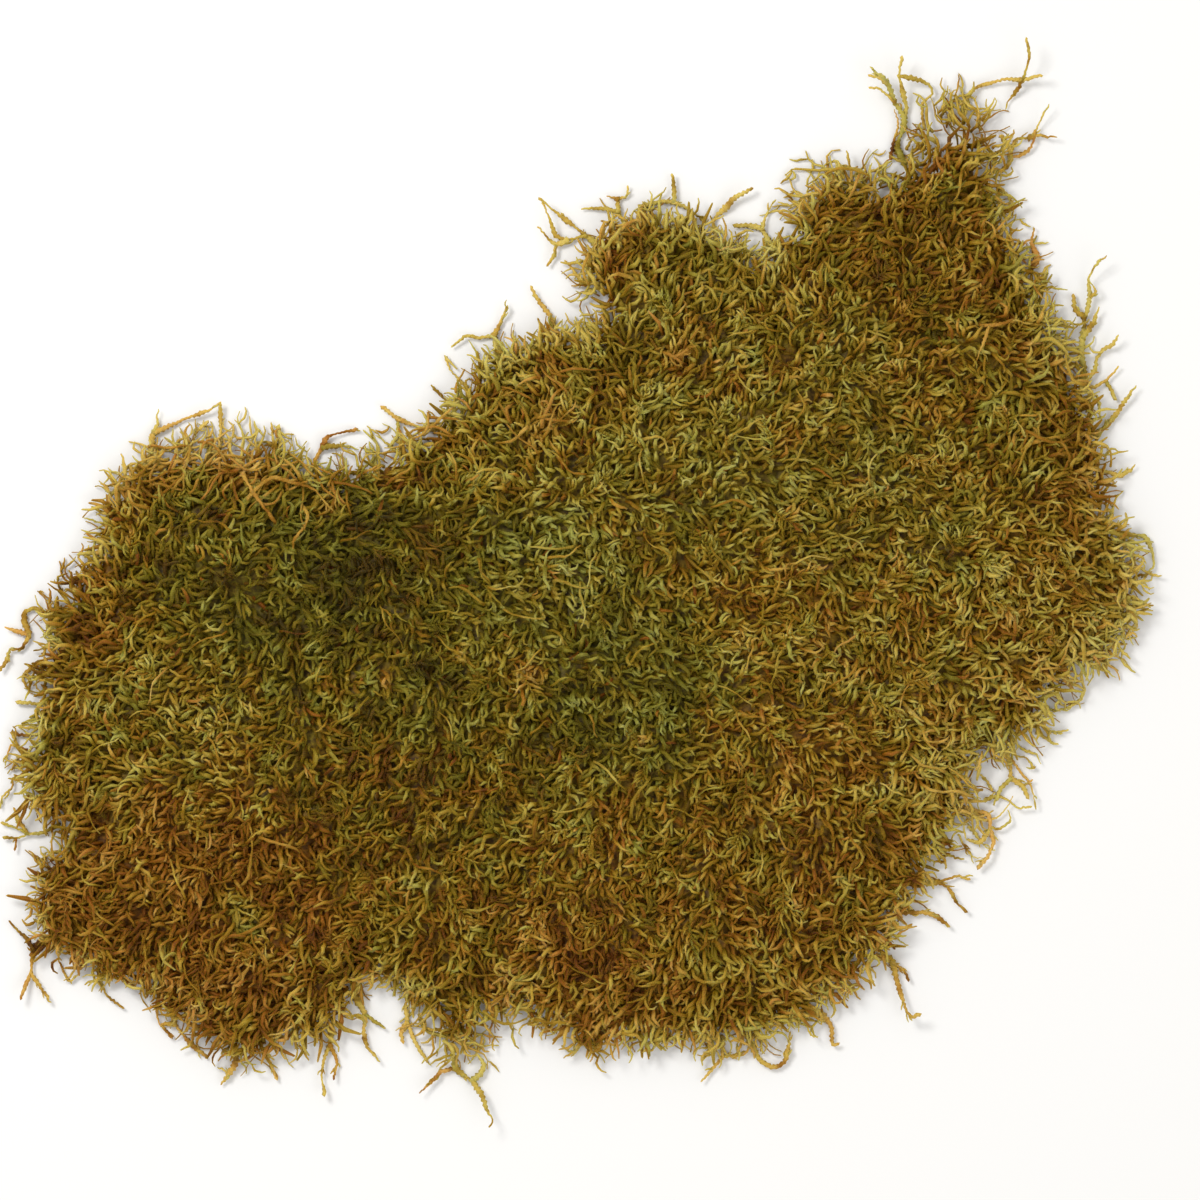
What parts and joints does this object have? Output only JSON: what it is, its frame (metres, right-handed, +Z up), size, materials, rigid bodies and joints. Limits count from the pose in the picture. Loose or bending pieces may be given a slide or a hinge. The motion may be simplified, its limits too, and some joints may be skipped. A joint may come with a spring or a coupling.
{
  "type": "sheet moss",
  "caption": "One torn, lobed sheet of dried feather moss: a leafy green, gold and rust pile on a flat felt of old brown stems, with loose leafy sprays past its rim.",
  "frame": {"origin": "on the resting surface, under the middle of the sheet's box in plan", "axes": "+Z up out of the green side; +X along the sheet's longest way, to the right of the picture; +Y towards the top of the picture"},
  "size_m": [0.464, 0.4336, 0.0193],
  "materials": {
    "old_stems": "dry brown stems and dead leaves, matt",
    "tan_top_left_moss": "dry leafy moss shoots, matt",
    "dark_green_left_moss": "dry leafy moss shoots, matt",
    "golden_left_moss": "dry leafy moss shoots, matt",
    "sage_left_moss": "dry leafy moss shoots, matt",
    "rust_lower_left_moss": "dry leafy moss shoots, matt",
    "green_upper_middle_moss": "dry leafy moss shoots, matt",
    "green_centre_moss": "dry leafy moss shoots, matt",
    "olive_small_lobe_moss": "dry leafy moss shoots, matt",
    "olive_upper_lobe_moss": "dry leafy moss shoots, matt",
    "pale_sage_right_moss": "dry leafy moss shoots, matt",
    "brown_right_rim_moss": "dry leafy moss shoots, matt",
    "golden_right_moss": "dry leafy moss shoots, matt",
    "olive_lower_middle_moss": "dry leafy moss shoots, matt",
    "rust_foot_moss": "dry leafy moss shoots, matt",
    "golden_lower_right_moss": "dry leafy moss shoots, matt",
    "bare_tan_crossed_stem": "dry bare stem, matt",
    "bare_brown_arched_stem": "dry bare stem, matt",
    "bare_orange_middle_stem": "dry bare stem, matt",
    "bare_rust_right_stem": "dry bare stem, matt",
    "loose_sprays": "dry leafy moss sprigs, matt"
  },
  "bodies": {
    "root": {"felt_of_old_stems": "old_stems", "pile_tan_top_left": "tan_top_left_moss", "pile_dark_green_left": "dark_green_left_moss", "pile_golden_left": "golden_left_moss", "pile_sage_left": "sage_left_moss", "pile_rust_lower_left": "rust_lower_left_moss", "pile_green_upper_middle": "green_upper_middle_moss", "pile_green_centre": "green_centre_moss", "pile_olive_small_lobe": "olive_small_lobe_moss", "pile_olive_upper_lobe": "olive_upper_lobe_moss", "pile_pale_sage_right": "pale_sage_right_moss", "pile_brown_right_rim": "brown_right_rim_moss", "pile_golden_right": "golden_right_moss", "pile_olive_lower_middle": "olive_lower_middle_moss", "pile_rust_foot": "rust_foot_moss", "pile_golden_lower_right": "golden_lower_right_moss", "runner_tan_crossed": "bare_tan_crossed_stem", "runner_brown_arched": "bare_brown_arched_stem", "runner_orange_middle": "bare_orange_middle_stem", "runner_rust_right": "bare_rust_right_stem", "spray_top_antler": "loose_sprays", "spray_crossed_top_right": "loose_sprays", "spray_right_shoulder": "loose_sprays", "spray_right_curly": "loose_sprays", "spray_right_bushy": "loose_sprays", "spray_right_broken_twig": "loose_sprays", "spray_right_stub": "loose_sprays", "spray_right_loop": "loose_sprays", "spray_right_tail": "loose_sprays", "spray_bay_upper": "loose_sprays", "spray_bay_lower": "loose_sprays", "spray_bay_hook": "loose_sprays", "spray_bay_thread": "loose_sprays", "spray_long_tail_bottom_right": "loose_sprays", "spray_bottom_crook": "loose_sprays", "spray_bottom_hoop": "loose_sprays", "spray_bottom_twig": "loose_sprays", "spray_long_bottom": "loose_sprays", "spray_bottom_dangling": "loose_sprays", "spray_bottom_wishbone": "loose_sprays", "spray_bottom_tassel": "loose_sprays", "spray_bottom_left_foot": "loose_sprays", "spray_lower_left_streak": "loose_sprays", "spray_left_fork": "loose_sprays", "spray_left_fan": "loose_sprays", "spray_left_curls": "loose_sprays", "spray_left_hook": "loose_sprays", "spray_left_needle": "loose_sprays", "spray_top_left_arch": "loose_sprays", "spray_top_left_peak": "loose_sprays", "spray_pointed_small_lobe": "loose_sprays", "spray_small_lobe_spike": "loose_sprays", "spray_small_lobe_arch": "loose_sprays", "spray_gap_arc": "loose_sprays", "spray_gap_twig": "loose_sprays", "spray_upper_middle_needle": "loose_sprays", "spray_upper_middle_loop": "loose_sprays", "spray_notch_right_spike": "loose_sprays", "spray_notch_antler": "loose_sprays"}
  },
  "joints": []
}
